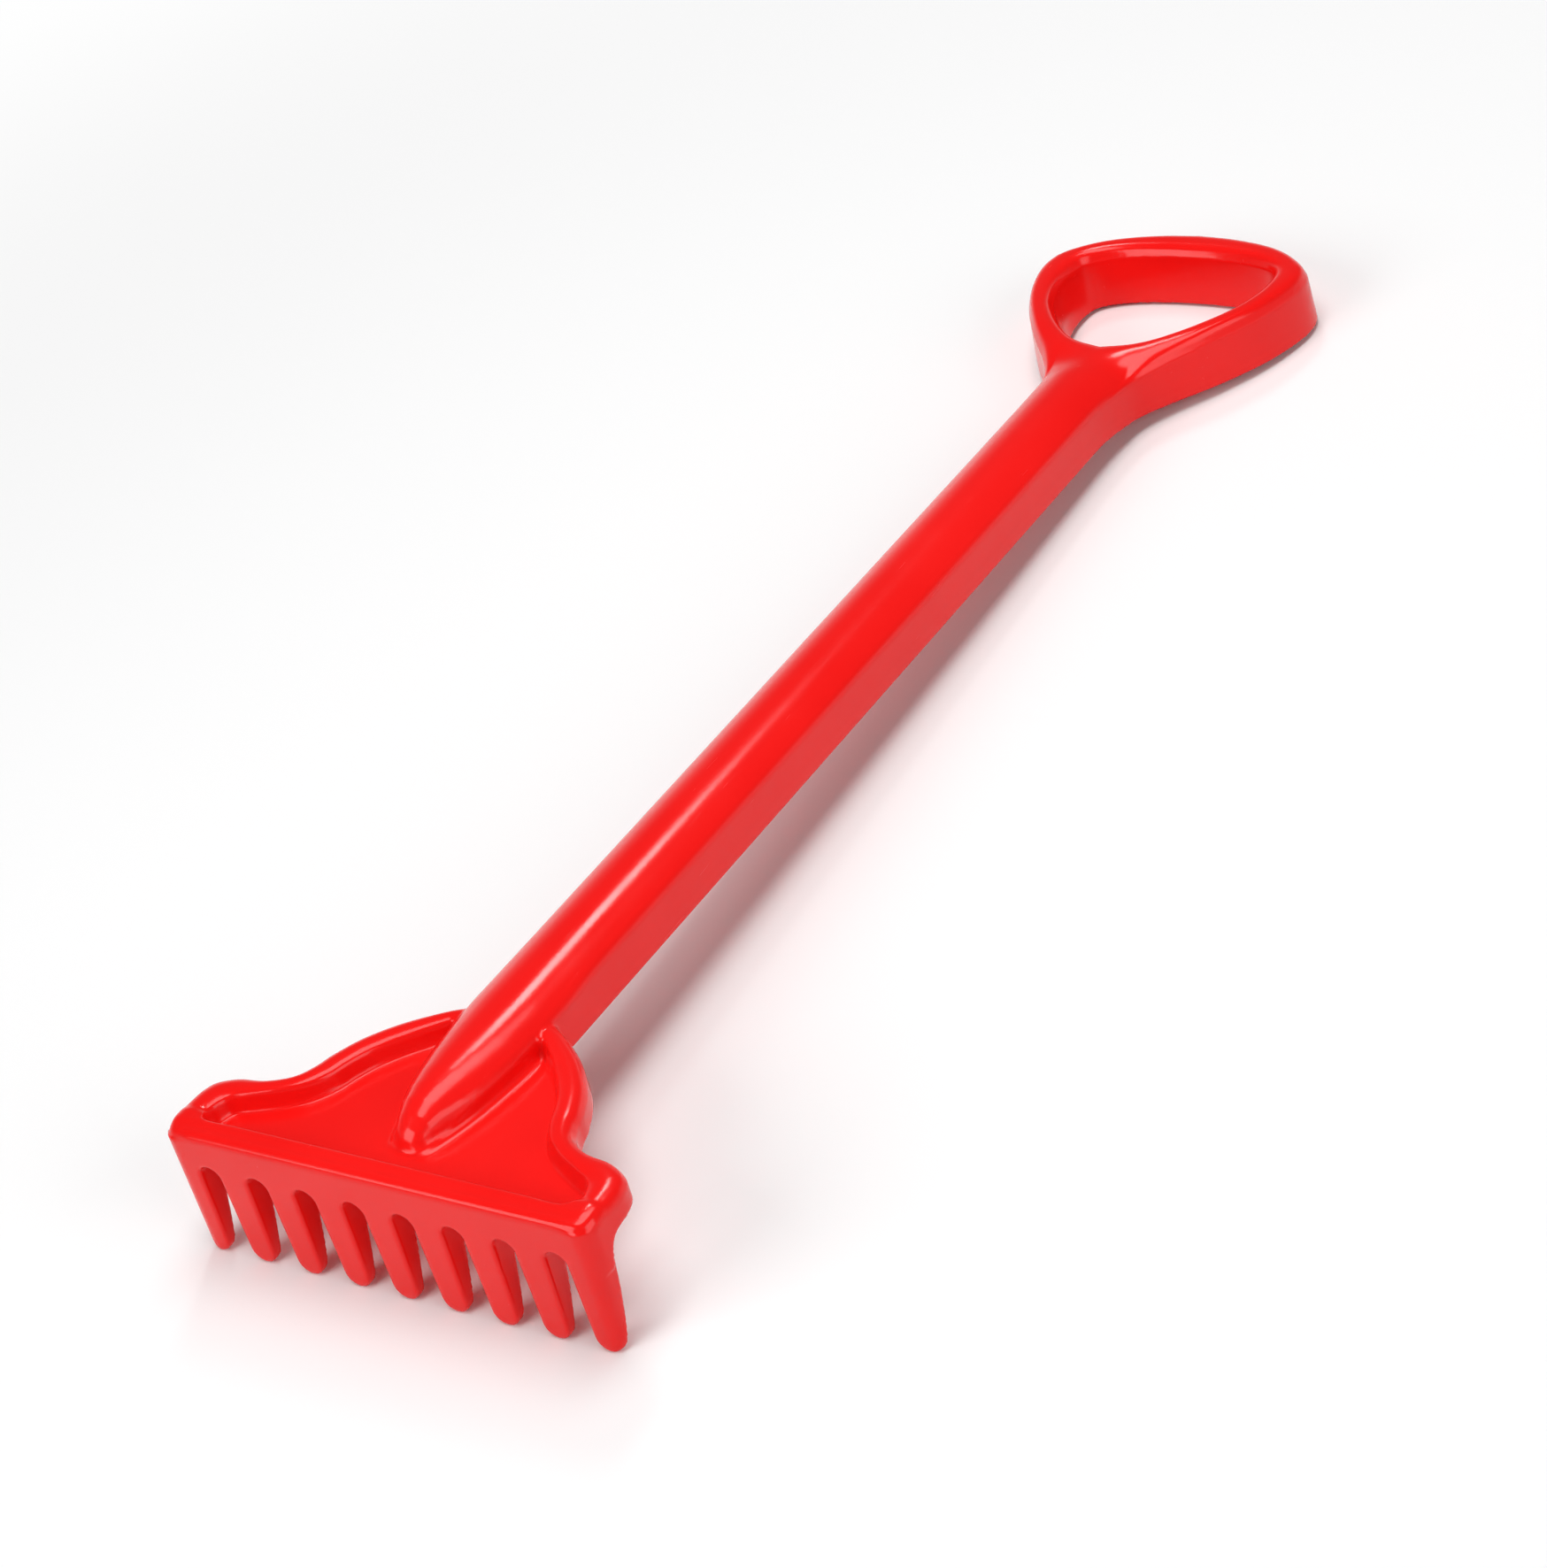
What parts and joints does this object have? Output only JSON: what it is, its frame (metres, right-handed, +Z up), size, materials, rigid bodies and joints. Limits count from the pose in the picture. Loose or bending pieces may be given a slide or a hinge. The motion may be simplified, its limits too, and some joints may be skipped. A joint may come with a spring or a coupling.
{
  "type": "toy sand rake",
  "caption": "Red plastic toy sand rake with a looped grip, a hollow shaft, a rimmed bell-shaped head and a comb of straight tines.",
  "frame": {"origin": "centre of the bounding box's bottom face, on the ground that the tine tips and the far edge of the grip rest on", "axes": "+Z up, +Y along the shaft from the comb to the grip, +X to the right seen from the comb's front"},
  "size_m": [0.1464, 0.5049, 0.0469],
  "materials": {
    "red_plastic": "glossy moulded polypropylene, one colour all through, smooth rounded edges"
  },
  "bodies": {
    "root": {"shaft_crown_left": "red_plastic", "shaft_crown_right": "red_plastic", "shaft_skirt_left": "red_plastic", "shaft_skirt_right": "red_plastic", "grip_throat": "red_plastic", "grip_post": "red_plastic", "grip_arm_left": "red_plastic", "grip_arm_right": "red_plastic", "grip_bar": "red_plastic", "nose_ridge": "red_plastic", "nose_tip": "red_plastic", "head_web": "red_plastic", "rim_left": "red_plastic", "rim_right": "red_plastic", "front_band": "red_plastic", "comb_wall": "red_plastic", "end_wall_left": "red_plastic", "end_wall_right": "red_plastic", "tine_1": "red_plastic", "tine_2": "red_plastic", "tine_3": "red_plastic", "tine_4": "red_plastic", "tine_5": "red_plastic", "tine_6": "red_plastic", "tine_7": "red_plastic", "tine_8": "red_plastic", "tine_9": "red_plastic"}
  },
  "joints": []
}
